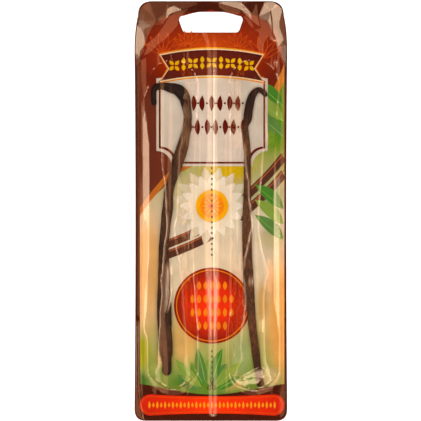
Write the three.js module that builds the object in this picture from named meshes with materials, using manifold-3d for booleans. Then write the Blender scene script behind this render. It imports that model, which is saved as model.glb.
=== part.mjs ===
// A flat hanging pack with two dried vanilla pods: a printed backing sheet, a clear formed film with one long
// pocket for each pod, and a hang hole punched through both sheets.
// Millimetres. The pack lies on its back: X runs across it, Y up its length to the hang hole, Z out of its front.
// The origin is the middle of the underside.
import * as THREE from 'three';
import { mergeVertices } from 'three/addons/utils/BufferGeometryUtils.js';
import Module from 'manifold-3d';

const wasm = await Module();
wasm.setup();

// Outline of the pack
const PACK_WIDTH = 80;
const PACK_LENGTH = 220;
const WAIST = 0.5; // how far each long side bows in at its middle
const HEADER_WIDTH = 76.4; // across the top, below its corners
const HEADER_LENGTH = 27; // the stretch that narrows to the header's width
const TOP_CORNER = 7.5;
const BOTTOM_CORNER = 6;
const FILM_INSET = 0.4; // the film stops this far inside the backing

// Hang hole: flat below, wider above, with an arched top that peaks in a small notch
const HOLE_BASE_Y = 93.6;
const HOLE_BASE_HALF = 14.3;
const HOLE_WIDEST_Y = 99.9;
const HOLE_WIDEST_HALF = 16.7;
const HOLE_SHOULDER_Y = 102.4;
const HOLE_SHOULDER_HALF = 14.2;
const HOLE_ARCH_Y = 104.7;
const HOLE_NOTCH_HALF = 2.2;
const HOLE_NOTCH_Y = 105.7;
const HOLE_CORNER = 1.2;

// Sheets
const BACKING_THICKNESS = 0.6;
const SHEET_GAP = 0.3;
const FILM_THICKNESS = 0.45;
const FILM_Z = BACKING_THICKNESS + SHEET_GAP;

// Pockets: stadium-shaped, each level of the wall one ring of [half width, height above the flange's underside]
const POCKET_CENTRES_X = { left: -19.85, right: 22.7 };
const POCKET_TOP_Y = 80.1;
const POCKET_BOTTOM_Y = -96.6;
const POCKET_WALL = 0.45;
const POCKET_RINGS = [[13.65, 0.1], [13.15, 0.9], [11.7, 3.2], [9.8, 5.7], [8.2, 7.2], [7.0, 7.55], [3.6, 7.8]];
const POCKET_CREST = 7.85;
const POCKET_ARC_STEPS = 12;
const POCKET_SIDE_STEPS = 14;
const CREST_SWAY = 0.35; // how far the crest's edges wander in and out along the pocket
const CREST_SWAY_LENGTH = 62;
const SWAYING_RINGS_FROM = 4;
const CUTTER_DEPTH = 1; // how far a pocket's cutter reaches below the flange

// Pods: [x, y, width] along the middle of each, from the curled stem to the blossom end
const LEFT_POD = [
  [-29.5, 55.7, 2.3], [-29.45, 59.5, 2.7], [-28.6, 63.6, 2.8], [-25.9, 65.2, 3.1], [-21.9, 64.4, 4.6],
  [-17.6, 62.7, 6.2], [-13.9, 58.9, 6.6], [-12.4, 53.6, 5.0], [-12.5, 42.3, 4.5], [-14.2, 32.4, 5.0],
  [-18.4, 21.6, 5.8], [-21.8, 11.3, 5.4], [-23.5, -4.5, 5.9], [-24.8, -16.6, 5.9], [-24.5, -29.6, 7.0],
  [-24.3, -47.3, 8.0], [-23.9, -62.5, 8.1], [-23.5, -72.3, 7.8], [-23.2, -79.0, 5.4], [-23.0, -82.7, 4.7],
  [-23.1, -86.0, 4.6],
];
const RIGHT_POD = [
  [28.1, 59.6, 2.0], [27.9, 62.1, 2.2], [26.6, 63.7, 2.5], [24.6, 63.5, 3.1], [22.2, 61.3, 3.7],
  [20.6, 57.6, 4.1], [19.6, 52.6, 4.6], [18.4, 47.8, 4.1], [17.9, 43.8, 2.7], [18.1, 38.3, 4.0],
  [18.8, 23.9, 3.9], [18.8, 11.2, 4.1], [18.6, -5.5, 5.3], [19.3, -24.7, 5.6], [19.7, -36.7, 6.0],
  [20.6, -48.0, 4.9], [21.7, -60.8, 4.6], [23.3, -73.0, 4.5], [25.0, -84.5, 4.4], [25.9, -89.6, 4.1],
  [26.1, -93.2, 4.0],
];
const POD_FLATNESS = 0.66; // thickness for each millimetre of width
const POD_LEAST_THICKNESS = 0.6;
const POD_REST_Z = BACKING_THICKNESS + SHEET_GAP + 0.05;
const POD_SIDES = 20;
const POD_BODY_RINGS = 56;
const POD_END_RINGS = [0.03, 0.18, 0.5]; // places of the rings that round an end, as shares of its half width
const WRINKLES = 5; // lengthwise folds round a pod
const WRINKLE_DEPTH = 0.07; // share of the radius
const WRINKLE_TURN = 0.045; // radians of drift for each millimetre of length

const COLOURS = { backing: 0x7a2410, film: 0xd9cdbf, pod: 0x45332a };

// The half outline is walked up the right side and mirrored down the left.
function packOutline(inset) {
  const half = PACK_WIDTH / 2 - inset;
  const headerHalf = HEADER_WIDTH / 2 - inset;
  const top = PACK_LENGTH / 2 - inset;
  const headerStart = PACK_LENGTH / 2 - HEADER_LENGTH;
  const outline = new THREE.Shape();
  outline.moveTo(-half + BOTTOM_CORNER, -top);
  outline.lineTo(half - BOTTOM_CORNER, -top);
  outline.quadraticCurveTo(half, -top, half, -top + BOTTOM_CORNER);
  outline.quadraticCurveTo(half - 2 * WAIST, 0, half, headerStart);
  outline.quadraticCurveTo(half, top - 2 * TOP_CORNER, headerHalf, top - TOP_CORNER);
  outline.quadraticCurveTo(headerHalf, top, headerHalf - TOP_CORNER, top);
  outline.lineTo(-headerHalf + TOP_CORNER, top);
  outline.quadraticCurveTo(-headerHalf, top, -headerHalf, top - TOP_CORNER);
  outline.quadraticCurveTo(-half, top - 2 * TOP_CORNER, -half, headerStart);
  outline.quadraticCurveTo(-half + 2 * WAIST, 0, -half, -top + BOTTOM_CORNER);
  outline.quadraticCurveTo(-half, -top, -half + BOTTOM_CORNER, -top);
  outline.holes.push(hangHole());
  return outline;
}

function hangHole() {
  const hole = new THREE.Path();
  hole.moveTo(HOLE_BASE_HALF - HOLE_CORNER, HOLE_BASE_Y);
  hole.lineTo(-HOLE_BASE_HALF + HOLE_CORNER, HOLE_BASE_Y);
  hole.quadraticCurveTo(-HOLE_BASE_HALF, HOLE_BASE_Y, -HOLE_BASE_HALF - HOLE_CORNER / 2, HOLE_BASE_Y + HOLE_CORNER);
  hole.lineTo(-HOLE_WIDEST_HALF, HOLE_WIDEST_Y);
  hole.quadraticCurveTo(-HOLE_WIDEST_HALF, HOLE_SHOULDER_Y, -HOLE_SHOULDER_HALF, HOLE_SHOULDER_Y);
  hole.quadraticCurveTo(-HOLE_SHOULDER_HALF / 2, HOLE_ARCH_Y, -HOLE_NOTCH_HALF, HOLE_ARCH_Y);
  hole.quadraticCurveTo(0, HOLE_NOTCH_Y + 0.5, HOLE_NOTCH_HALF, HOLE_ARCH_Y);
  hole.quadraticCurveTo(HOLE_SHOULDER_HALF / 2, HOLE_ARCH_Y, HOLE_SHOULDER_HALF, HOLE_SHOULDER_Y);
  hole.quadraticCurveTo(HOLE_WIDEST_HALF, HOLE_SHOULDER_Y, HOLE_WIDEST_HALF, HOLE_WIDEST_Y);
  hole.lineTo(HOLE_BASE_HALF + HOLE_CORNER / 2, HOLE_BASE_Y + HOLE_CORNER);
  hole.quadraticCurveTo(HOLE_BASE_HALF, HOLE_BASE_Y, HOLE_BASE_HALF - HOLE_CORNER, HOLE_BASE_Y);
  return hole;
}

function sheet(inset, lowest, thickness) {
  const geometry = new THREE.ExtrudeGeometry(packOutline(inset), {
    depth: thickness,
    bevelEnabled: false,
    curveSegments: 10,
  });
  geometry.translate(0, 0, lowest);
  return geometry;
}

// A closed cylinder whose every vertex is put in its place by place(turn, level, spread): turn is its share of the
// way round, level its ring, and spread 1 on the wall or 0 at the middle of an end.
function shapedCylinder(sides, rings, place) {
  const geometry = new THREE.CylinderGeometry(1, 1, 1, sides, rings - 1);
  geometry.rotateX(Math.PI / 2);
  const position = geometry.attributes.position;
  const spot = new THREE.Vector3();
  for (let i = 0; i < position.count; i += 1) {
    spot.fromBufferAttribute(position, i);
    const side = Math.round((Math.atan2(spot.y, spot.x) / (2 * Math.PI)) * sides + sides) % sides;
    const level = Math.round((spot.z + 0.5) * (rings - 1));
    place(side / sides, level, Math.hypot(spot.x, spot.y) > 0.5 ? 1 : 0, spot);
    position.setXYZ(i, spot.x, spot.y, spot.z);
  }
  return geometry;
}

// Stations round a stadium: along is the place of the arc's centre, facing the direction of the wall there.
function pocketStations(halfStraight) {
  const stations = [];
  for (const end of [1, -1]) {
    for (let i = 0; i <= POCKET_ARC_STEPS; i += 1) {
      const facing = (Math.PI * i) / POCKET_ARC_STEPS + (end > 0 ? 0 : Math.PI);
      stations.push({ along: end * halfStraight, facing });
    }
    for (let i = 1; i < POCKET_SIDE_STEPS; i += 1) {
      const along = end * halfStraight * (1 - (2 * i) / POCKET_SIDE_STEPS);
      stations.push({ along, facing: end > 0 ? Math.PI : 2 * Math.PI });
    }
  }
  return stations;
}

// One pocket as a solid block, shrunk by wall; its foot reaches down to the given depth below the flange.
function pocketBlock(centreX, wall, depth) {
  const radius = POCKET_RINGS[0][0];
  const middleY = (POCKET_TOP_Y + POCKET_BOTTOM_Y) / 2;
  const stations = pocketStations((POCKET_TOP_Y - POCKET_BOTTOM_Y) / 2 - radius);
  const crestZ = FILM_Z + POCKET_CREST - wall;
  return shapedCylinder(stations.length, POCKET_RINGS.length, (turn, level, spread, spot) => {
    const { along, facing } = stations[Math.round(turn * stations.length) % stations.length];
    const [halfWidth, height] = POCKET_RINGS[level];
    const sway = level < SWAYING_RINGS_FROM ? 0 : CREST_SWAY * Math.sin((2 * Math.PI * along) / CREST_SWAY_LENGTH);
    const reach = spread * (halfWidth - wall + sway);
    const wallZ = FILM_Z + height - (level === 0 ? depth : wall);
    spot.x = centreX + reach * Math.cos(facing);
    spot.y = middleY + spread * along + reach * Math.sin(facing);
    spot.z = spread === 0 && level > 0 ? crestZ : wallZ;
  });
}

// The clear film: a flange over the whole front, with two hollow pockets open to the back.
function formedFilm() {
  let film = toManifold(sheet(FILM_INSET, FILM_Z, FILM_THICKNESS));
  const centres = Object.values(POCKET_CENTRES_X);
  for (const centreX of centres) film = film.add(toManifold(pocketBlock(centreX, 0, 0)));
  for (const centreX of centres) film = film.subtract(toManifold(pocketBlock(centreX, POCKET_WALL, CUTTER_DEPTH)));
  return fromManifold(film);
}

// Distances along a pod at which it has a ring: close together where an end is rounded, even between.
function ringDistances(length, firstHalf, lastHalf) {
  const first = POD_END_RINGS.map((share) => share * firstHalf);
  const last = POD_END_RINGS.map((share) => length - share * lastHalf).reverse();
  const step = (length - firstHalf - lastHalf) / (POD_BODY_RINGS - 1);
  const body = Array.from({ length: POD_BODY_RINGS }, (_, i) => firstHalf + step * i);
  return [...first, ...body, ...last];
}

// A pod lies on the backing: an oval, lengthwise wrinkled tube of changing width, rounded at both ends.
function podBody(stations, phase) {
  const route = new THREE.CatmullRomCurve3(stations.map((station) => new THREE.Vector3(...station)));
  const length = route.getLength();
  const firstHalf = stations[0][2] / 2;
  const lastHalf = stations[stations.length - 1][2] / 2;
  const distances = ringDistances(length, firstHalf, lastHalf);
  const up = new THREE.Vector3(0, 0, 1);
  return shapedCylinder(POD_SIDES, distances.length, (turn, level, spread, spot) => {
    const distance = distances[level];
    const t = route.getUtoTmapping(distance / length);
    const middle = route.getPoint(t);
    const heading = route.getTangent(t).setZ(0).normalize();
    const side = new THREE.Vector3().crossVectors(up, heading);
    const fromEnd = Math.min(1, distance / firstHalf, (length - distance) / lastHalf);
    const rounding = Math.sqrt(1 - (1 - fromEnd) ** 2);
    const angle = 2 * Math.PI * turn;
    const fold = 1 - WRINKLE_DEPTH * (1 + Math.cos(WRINKLES * angle + phase + WRINKLE_TURN * distance));
    const halfWidth = (middle.z / 2) * rounding * fold;
    const fullThickness = middle.z * POD_FLATNESS + POD_LEAST_THICKNESS;
    const halfThickness = (fullThickness / 2) * rounding * fold;
    const middleZ = POD_REST_Z + fullThickness / 2;
    spot.set(middle.x, middle.y, middleZ);
    spot.addScaledVector(side, spread * halfWidth * Math.cos(angle));
    spot.addScaledVector(up, spread * halfThickness * Math.sin(angle));
  });
}

function weld(geometry) {
  geometry.deleteAttribute('normal');
  geometry.deleteAttribute('uv');
  return mergeVertices(geometry, 1e-4);
}

function toManifold(geometry) {
  const welded = weld(geometry);
  return new wasm.Manifold(new wasm.Mesh({
    numProp: 3,
    vertProperties: new Float32Array(welded.attributes.position.array),
    triVerts: new Uint32Array(welded.index.array),
  }));
}

function fromManifold(solid) {
  const mesh = solid.getMesh();
  const geometry = new THREE.BufferGeometry();
  geometry.setAttribute('position', new THREE.BufferAttribute(mesh.vertProperties, 3));
  geometry.setIndex(new THREE.BufferAttribute(mesh.triVerts, 1));
  return geometry;
}

function named(name, geometry, material) {
  geometry.computeVertexNormals();
  const mesh = new THREE.Mesh(geometry, material);
  mesh.name = name;
  return mesh;
}

const printedSheet = new THREE.MeshStandardMaterial({ color: COLOURS.backing, roughness: 0.55, metalness: 0 });
const clearFilm = new THREE.MeshStandardMaterial({
  color: COLOURS.film,
  roughness: 0.12,
  metalness: 0,
  transparent: true,
  opacity: 0.35,
});
const driedPod = new THREE.MeshStandardMaterial({ color: COLOURS.pod, roughness: 0.6, metalness: 0 });

const pack = new THREE.Group();
pack.add(named('backing', weld(sheet(0, 0, BACKING_THICKNESS)), printedSheet));
pack.add(named('film', formedFilm(), clearFilm));
pack.add(named('pod_left', weld(podBody(LEFT_POD, 0.4)), driedPod));
pack.add(named('pod_right', weld(podBody(RIGHT_POD, 2.1)), driedPod));

export default pack;
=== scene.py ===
"""A hanging pack with two dried vanilla pods: the looks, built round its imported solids.

Lengths below are millimetres unless a name says otherwise, and each finished mesh is brought to metres once.
X runs across the pack, Y up its length to the hang hole, Z out of its front.
"""

import math

import bmesh
import bpy
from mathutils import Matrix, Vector, geometry, noise
from mathutils.bvhtree import BVHTree


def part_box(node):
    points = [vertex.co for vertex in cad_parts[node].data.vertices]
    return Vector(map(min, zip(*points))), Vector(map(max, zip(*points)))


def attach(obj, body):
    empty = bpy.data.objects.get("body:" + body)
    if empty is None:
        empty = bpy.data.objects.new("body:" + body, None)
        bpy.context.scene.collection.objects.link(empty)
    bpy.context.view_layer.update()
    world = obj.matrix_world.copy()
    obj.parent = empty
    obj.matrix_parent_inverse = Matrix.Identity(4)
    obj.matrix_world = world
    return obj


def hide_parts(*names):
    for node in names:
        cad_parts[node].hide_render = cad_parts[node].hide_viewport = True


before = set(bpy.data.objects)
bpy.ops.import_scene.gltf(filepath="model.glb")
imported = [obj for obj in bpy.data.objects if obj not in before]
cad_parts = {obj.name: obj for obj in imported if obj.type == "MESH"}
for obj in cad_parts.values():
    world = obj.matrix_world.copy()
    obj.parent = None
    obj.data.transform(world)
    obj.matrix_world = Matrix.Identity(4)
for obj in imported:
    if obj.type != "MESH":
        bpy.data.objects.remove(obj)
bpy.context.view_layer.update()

MM = 0.001  # metres in a millimetre


def in_mm(corner):
    return [value / MM for value in corner]


# ---- The pack's own sizes, from the frame where the frame has them ----
HALF_WIDTH, HALF_LENGTH, SHEET_TOP = in_mm(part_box("backing")[1])
FILM_HALF_WIDTH, FILM_HALF_LENGTH, _ = in_mm(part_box("film")[1])

HEADER_HALF = 38.2  # half the pack's width at the foot of its top corners
HEADER_START = HALF_LENGTH - 27  # from here up the pack narrows to its header
TOP_CORNER = 7.5
BOTTOM_CORNER = 6
CORNER_SQUARENESS = 2.3
WAIST = 0.5  # how far each long side bows in at its middle

HOLE_RIM = [  # right half of the hang hole, from the middle of its base up to the notch
    (0, 93.6), (13.1, 93.6), (14.0, 93.75), (14.9, 94.8), (16.7, 99.9), (16.55, 101.3), (15.6, 102.1),
    (14.2, 102.4), (10.6, 103.4), (7.0, 104.2), (4.4, 104.6), (2.2, 104.7), (1.1, 105.2), (0, 105.5),
]
HOLE_OUTLINE = HOLE_RIM + [(-x, y) for x, y in reversed(HOLE_RIM[1:-1])]

POCKET_RADIUS = 13.65
POCKET_TOP_Y = 80.1
POCKET_BOTTOM_Y = -96.6
POCKET_MIDDLE_Y = (POCKET_TOP_Y + POCKET_BOTTOM_Y) / 2
POCKET_HALF_STRAIGHT = (POCKET_TOP_Y - POCKET_BOTTOM_Y) / 2 - POCKET_RADIUS

LIP_FOOT = [(-84, 0, 0.7, 0.127), (-92, 0, 3.0, 0.09), (-97, 0, 3.6, 0.085)]

# Each pocket: the middle line's x, which way is outwards, its crest's edges at low x and at high x as
# [y, distance from the middle line], the bevel along each of them as [y, width, slope], and the lip at its foot
# on each side as [y, reach past the pocket's radius, width, slope]
POCKETS = {
    "left": {
        "x": -19.85,
        "outer": -1,
        "low_bevel": [
            (47, 0, 0.155), (39, 0.4, 0.155), (22, 0.4, 0.155), (10, 0.75, 0.155), (-72, 0.75, 0.155),
            (-81, 2.2, 0.13), (-91, 1.6, 0.13),
        ],
        "high_bevel": [
            (60, 0, 0.155), (52, 0.6, 0.155), (40, 0.6, 0.155), (30, 1.1, 0.127), (0, 1.1, 0.127),
            (-20, 0.75, 0.127), (-72, 0.75, 0.127), (-81, 2.1, 0.13), (-91, 1.6, 0.13),
        ],
        "low": [
            (66, -6.8), (26, -6), (10, -4.1), (-8, -3.4), (-20, -4.9), (-30, -5.7), (-35.5, -6.5),
            (-43, -6), (-54.5, -6.9), (-70, -7.6), (-79, -7.9), (-84, -9.4), (-91, -10.8),
        ],
        "high": [
            (66, 6.4), (57, 6.2), (45, 5.4), (36, 5), (29, 3.8), (12, 3.4), (-2, 2.7), (-8.7, 1.2),
            (-17, 1.8), (-28, 4.1), (-41, 5.5), (-70, 7.2), (-79, 8), (-84, 9.2), (-91, 10.2),
        ],
        "outer_lip": [
            (66, 0, 0.5, 0), (59, 2.6, 0.8, 0), (53, 2.7, 1.2, 0.1), (46, 2.5, 2.4, 0.15), (35, 2.3, 3.3, 0.16),
            (20, 2.2, 3.4, 0.19), (4, 2.2, 3.4, 0.19), (-12, 2.2, 3.4, 0.127), (-24, 2.2, 3.4, 0.127),
            (-34, 2.5, 2.8, 0.127), (-50, 2.5, 2.5, 0.127), (-61, 2.3, 1, 0.127), (-67, 0.2, 0.6, 0.127),
            *LIP_FOOT,
        ],
        "inner_lip": [
            (72, -0.2, 0.5, 0), (68, -0.25, 0.5, 0.2), (63, -0.25, 0.5, 0.18), (57, -0.6, 0.6, 0.07),
            (5, -2.8, 0.8, 0.08), (-20, -2.8, 0.6, 0.1), (-32, -2.6, 0.5, 0.2), (-47, -1.7, 0.5, 0.2),
            (-63, -0.5, 0.5, 0.2), *LIP_FOOT,
        ],
    },
    "right": {
        "x": 22.7,
        "outer": 1,
        "low_bevel": [
            (47, 0, 0.155), (39, 1.2, 0.155), (-60, 1.2, 0.155), (-76, 0.8, 0.155), (-91, 0.8, 0.155),
        ],
        "high_bevel": [
            (56, 0, 0.127), (48, 0.4, 0.127), (34, 0.4, 0.127), (24, 1, 0.127), (-72, 1, 0.127),
            (-84, 1.9, 0.13),
        ],
        "low": [
            (66, -7.1), (45, -7.1), (40, -7.7), (36, -7.3), (33, -5.7), (27, -5.4), (19.5, -4.7), (15, -3.5),
            (8, -3.5), (0, -2.4), (-7, -1.5), (-13.6, -3), (-18, -4.1), (-28, -6.1), (-31.5, -7.2),
            (-39, -5.8), (-48, -5.1), (-54, -5.8), (-63, -7.2), (-70, -7.5), (-77, -7), (-83, -9.6),
            (-89, -12.4),
        ],
        "high": [
            (66, 6), (54, 5.9), (44, 6.6), (38, 7.9), (34, 5), (20, 4.4), (10, 3.3), (-3, 2.6),
            (-10, 2.6), (-18, 3.7), (-24, 5.4), (-32, 7.8), (-39, 6), (-46, 5.3), (-70, 5.7), (-78, 6.2),
            (-83, 7.8), (-90, 11),
        ],
        "outer_lip": [
            (66, 0, 0.5, 0), (44, 0, 2, 0), (24, 0, 3.2, 0), (14, 0, 3.3, 0.127), (-45, -0.2, 3.2, 0.127),
            (-58, -0.2, 1.4, 0.127), (-64, 0, 0.6, 0.127), (-84, 0, 0.7, 0.127), (-92, 0, 2.2, 0.09),
            (-97, 0, 3.6, 0.085),
        ],
        "inner_lip": [
            (66, 0.4, 0.6, 0), (47, -0.3, 0.8, 0.07), (35, -0.95, 0.8, 0.07), (-50, -0.95, 0.8, 0.07),
            (-62, 0.2, 0.6, 0.1), (-84, 0.2, 0.7, 0.127), (-90, 0, 0.9, 0.127), (-94, 0, 2.8, 0.09),
            (-97, 0, 3.6, 0.085),
        ],
    },
}


# ---- Small sums ----
def eased(low, high, value):
    """0 below low, 1 above high, with a soft start and end between."""
    share = min(1.0, max(0.0, (value - low) / (high - low)))
    return share * share * (3 - 2 * share)


def along(stations, y):
    """Eased value between stations of falling y."""
    if y >= stations[0][0]:
        return stations[0][1]
    for (y_above, above), (y_below, below) in zip(stations, stations[1:]):
        if y >= y_below:
            return below + (above - below) * eased(y_below, y_above, y)
    return stations[-1][1]


def along_row(rows, y):
    """Eased values between rows of [y, value, value, ...] of falling y."""
    width = len(rows[0])
    return [along([(row[0], row[k]) for row in rows], y) for k in range(1, width)]


def wave(x, y, seed):
    """Smooth noise from -1 to 1 with one bump about every unit."""
    return noise.noise(Vector((x, y, seed)))


def film_half_width(y):
    """Half the film's width at y: waisted sides, a narrower header and rounded corners."""
    side = FILM_HALF_WIDTH - WAIST * (1 - (y / FILM_HALF_LENGTH) ** 2)
    if y > HEADER_START:
        rise = (y - HEADER_START) / (HALF_LENGTH - TOP_CORNER - HEADER_START)
        side = FILM_HALF_WIDTH - (HALF_WIDTH - HEADER_HALF) * min(1.0, rise) ** 2
    corner = TOP_CORNER if y > 0 else BOTTOM_CORNER
    into_corner = abs(y) - (FILM_HALF_LENGTH - corner)
    if into_corner > 0:
        share = min(1.0, into_corner / corner)
        side -= corner * (1 - math.sqrt(max(0.0, 1 - share**CORNER_SQUARENESS)))
    return min(side, FILM_HALF_WIDTH)


# ---- Pieces and materials ----
def feed(tree, socket, value):
    """Links an input to a socket, or sets it to a plain value."""
    if isinstance(value, bpy.types.NodeSocket):
        tree.links.new(value, socket)
    else:
        socket.default_value = value


def add_node(tree, kind, inputs=None, **settings):
    """A node with its settings, and with what feeds each of its inputs by the input's name or number."""
    node = tree.nodes.new("ShaderNode" + kind)
    for name, value in settings.items():
        setattr(node, name, value)
    for key, value in (inputs or {}).items():
        feed(tree, node.inputs[key], value)
    return node


def maths(tree, operation, *values):
    return add_node(tree, "Math", dict(enumerate(values)), operation=operation).outputs[0]


def noise_map(tree, place, scale, detail):
    return add_node(tree, "TexNoise", {"Vector": place, "Scale": scale, "Detail": detail}).outputs["Fac"]


def gradient(tree, place, kind="LINEAR"):
    return add_node(tree, "TexGradient", {"Vector": place}, gradient_type=kind).outputs["Fac"]


def spread(tree, value, low, high):
    """A value from 0 to 1 as one from low to high."""
    node = add_node(tree, "MapRange", {"Value": value, "To Min": low, "To Max": high})
    return node.outputs["Result"]


def linear(colour):
    """An sRGB colour of 0 to 255 as linear values."""
    shares = [value / 255 for value in colour]
    return [s / 12.92 if s <= 0.04045 else ((s + 0.055) / 1.055) ** 2.4 for s in shares] + [1.0]


def new_material(name, **inputs):
    """A material, its node tree and its shader, with the shader's inputs set."""
    material = bpy.data.materials.new(name)
    material.use_nodes = True
    shader = material.node_tree.nodes["Principled BSDF"]
    for socket, value in inputs.items():
        shader.inputs[socket.replace("_", " ")].default_value = value
    return material, material.node_tree, shader


def object_place(tree, centre=(0, 0), reach=None, turn=0.0):
    """Object coordinates, or their shares of reach from centre, both in millimetres, turned by degrees."""
    place = add_node(tree, "TexCoord").outputs["Object"]
    if reach is None:
        return place
    return add_node(tree, "Mapping", {
        "Vector": place,
        "Location": (centre[0] * MM, centre[1] * MM, 0),
        "Scale": (reach[0] * MM, reach[1] * MM, 1),
        "Rotation": (0, 0, math.radians(turn)),
    }, vector_type="TEXTURE").outputs["Vector"]


def colour_ramp(tree, factor, stops):
    ramp = add_node(tree, "ValToRGB", {"Fac": factor})
    elements = ramp.color_ramp.elements
    while len(elements) < len(stops):
        elements.new(0.5)
    for element, (position, colour) in zip(elements, stops):
        element.position = position
        element.color = linear(colour)
    return ramp.outputs["Color"]


def mix_colours(tree, factor, first, second, kind="MIX"):
    """Mixes two colours, or a second into a first, by a socket or a number."""
    inputs = {0: factor, 6: first, 7: second}
    return add_node(tree, "Mix", inputs, data_type="RGBA", blend_type=kind).outputs[2]


def put_in_scene(name, data, location=(0, 0, 0), turns=(0, 0, 0)):
    thing = bpy.data.objects.new(name, data)
    thing.location = location
    thing.rotation_euler = turns
    bpy.context.scene.collection.objects.link(thing)
    return thing


def as_mesh(bm, name, materials):
    mesh = bpy.data.meshes.new(name)
    bm.to_mesh(mesh)
    bm.free()
    for material in materials:
        mesh.materials.append(material)
    return mesh


def finish_piece(bm, name, materials, replaces=None, smooth=True, thickness=None):
    """Turns a bmesh in millimetres into a piece that rides on the pack, and thickens a sheet downwards."""
    bmesh.ops.scale(bm, vec=(MM, MM, MM), verts=bm.verts)
    for face in bm.faces:
        face.smooth = smooth
    piece = put_in_scene(name, as_mesh(bm, name, materials))
    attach(piece, "root")
    if replaces:
        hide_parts(replaces)
    if thickness:
        wall = piece.modifiers.new("wall", "SOLIDIFY")
        wall.thickness = thickness * MM
        wall.offset = -1


# ---- The clear film ----
FILM_WALL = 0.2
FILM_REST = SHEET_TOP + 0.21  # underside of the loose flange, over the print
FILM_SEAL = SHEET_TOP + 0.17  # underside of the sealed edge
SEAL_WIDTH = 4.5

# A pocket's side from its foot up: a low lip, a steep rim, a long wall, a narrow bevel and then the crest
RIM_RISE = 0.45
RIM_RUN = 0.5
RIM_FADE = (52, 48)  # the rim dies away up this stretch of the pocket
WALL_FOOT = 0.85  # the wall's slope at its foot, as a share of its mean slope
LEAST_WALL = 0.8
LEAST_BEVEL = 0.05
BEVEL_UNEVENNESS = 0.4
BEVEL_WAVES = (3, 0.045, 6.1)  # from side to side, a millimetre up the pack, and their seed
BEVEL_REACH = (0.4, 0.75)  # how far sideways, as shares, the bevel begins and is whole
CREST_RISE = 7.0
CREST_DOME = 0.4
SHARP_FOLD = 25  # degrees between two faces from which their fold is sharp

# Pleats: [height, step across, seed], and how far in steps and how fast along the pack they wander and change
WALL_PLEAT = (0.4, 1.5, 3.1)
CREST_PLEAT = (0.07, 2.7, 7.7)
FLANGE_PLEAT = (0.11, 1.7, 2.2)
PLEAT_WANDER = 1.2
PLEAT_BEND = 0.012
PLEAT_CHANGE = 0.018
PLEAT_APART = 3.7  # in the noise, from one pleat's height to the next
PLEAT_SEED = 9  # added for the heights' noise
CREST_PLEAT_WHOLE = 0.6  # share of the way out to the crest's edge within which its pleats are whole
WALL_PLEAT_FOOT = (0, 0.25)  # shares of the way up the wall between which its pleats fade in
WALL_PLEAT_TOP = (1, 0.8)  # and, on the way down from its top

# Stretches in which the flange's pleats fade in: down the pack, up it, below a height and away from the rib
RIPPLE_TOP = (94, 76)
RIPPLE_FOOT = (-98, -94)
RIPPLE_HEIGHT = (3, 0.6)
RIPPLE_ASIDE = (1.5, 6)

COLUMN_STEP = 0.54
SNAP_REACH = COLUMN_STEP * 0.5
CUT_MARGIN = 1.2  # how far past a side of the hang hole's rim the faces are cut
ROW_STEPS = [  # [from this distance to the nearer end, spacing of the rows]
    (0, 0.25), (3, 0.45), (36, 0.8), (60, 1.1),
]

RAY_NUDGE = (0.0007, 0.0003)  # keeps a ray off the facets' shared edges
ABOVE_ALL = 100


def bound(*places):
    """A closed line of no height, which bounds a group of facets."""
    return [(x, y, 0) for x, y in places + places[:1]]


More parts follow.
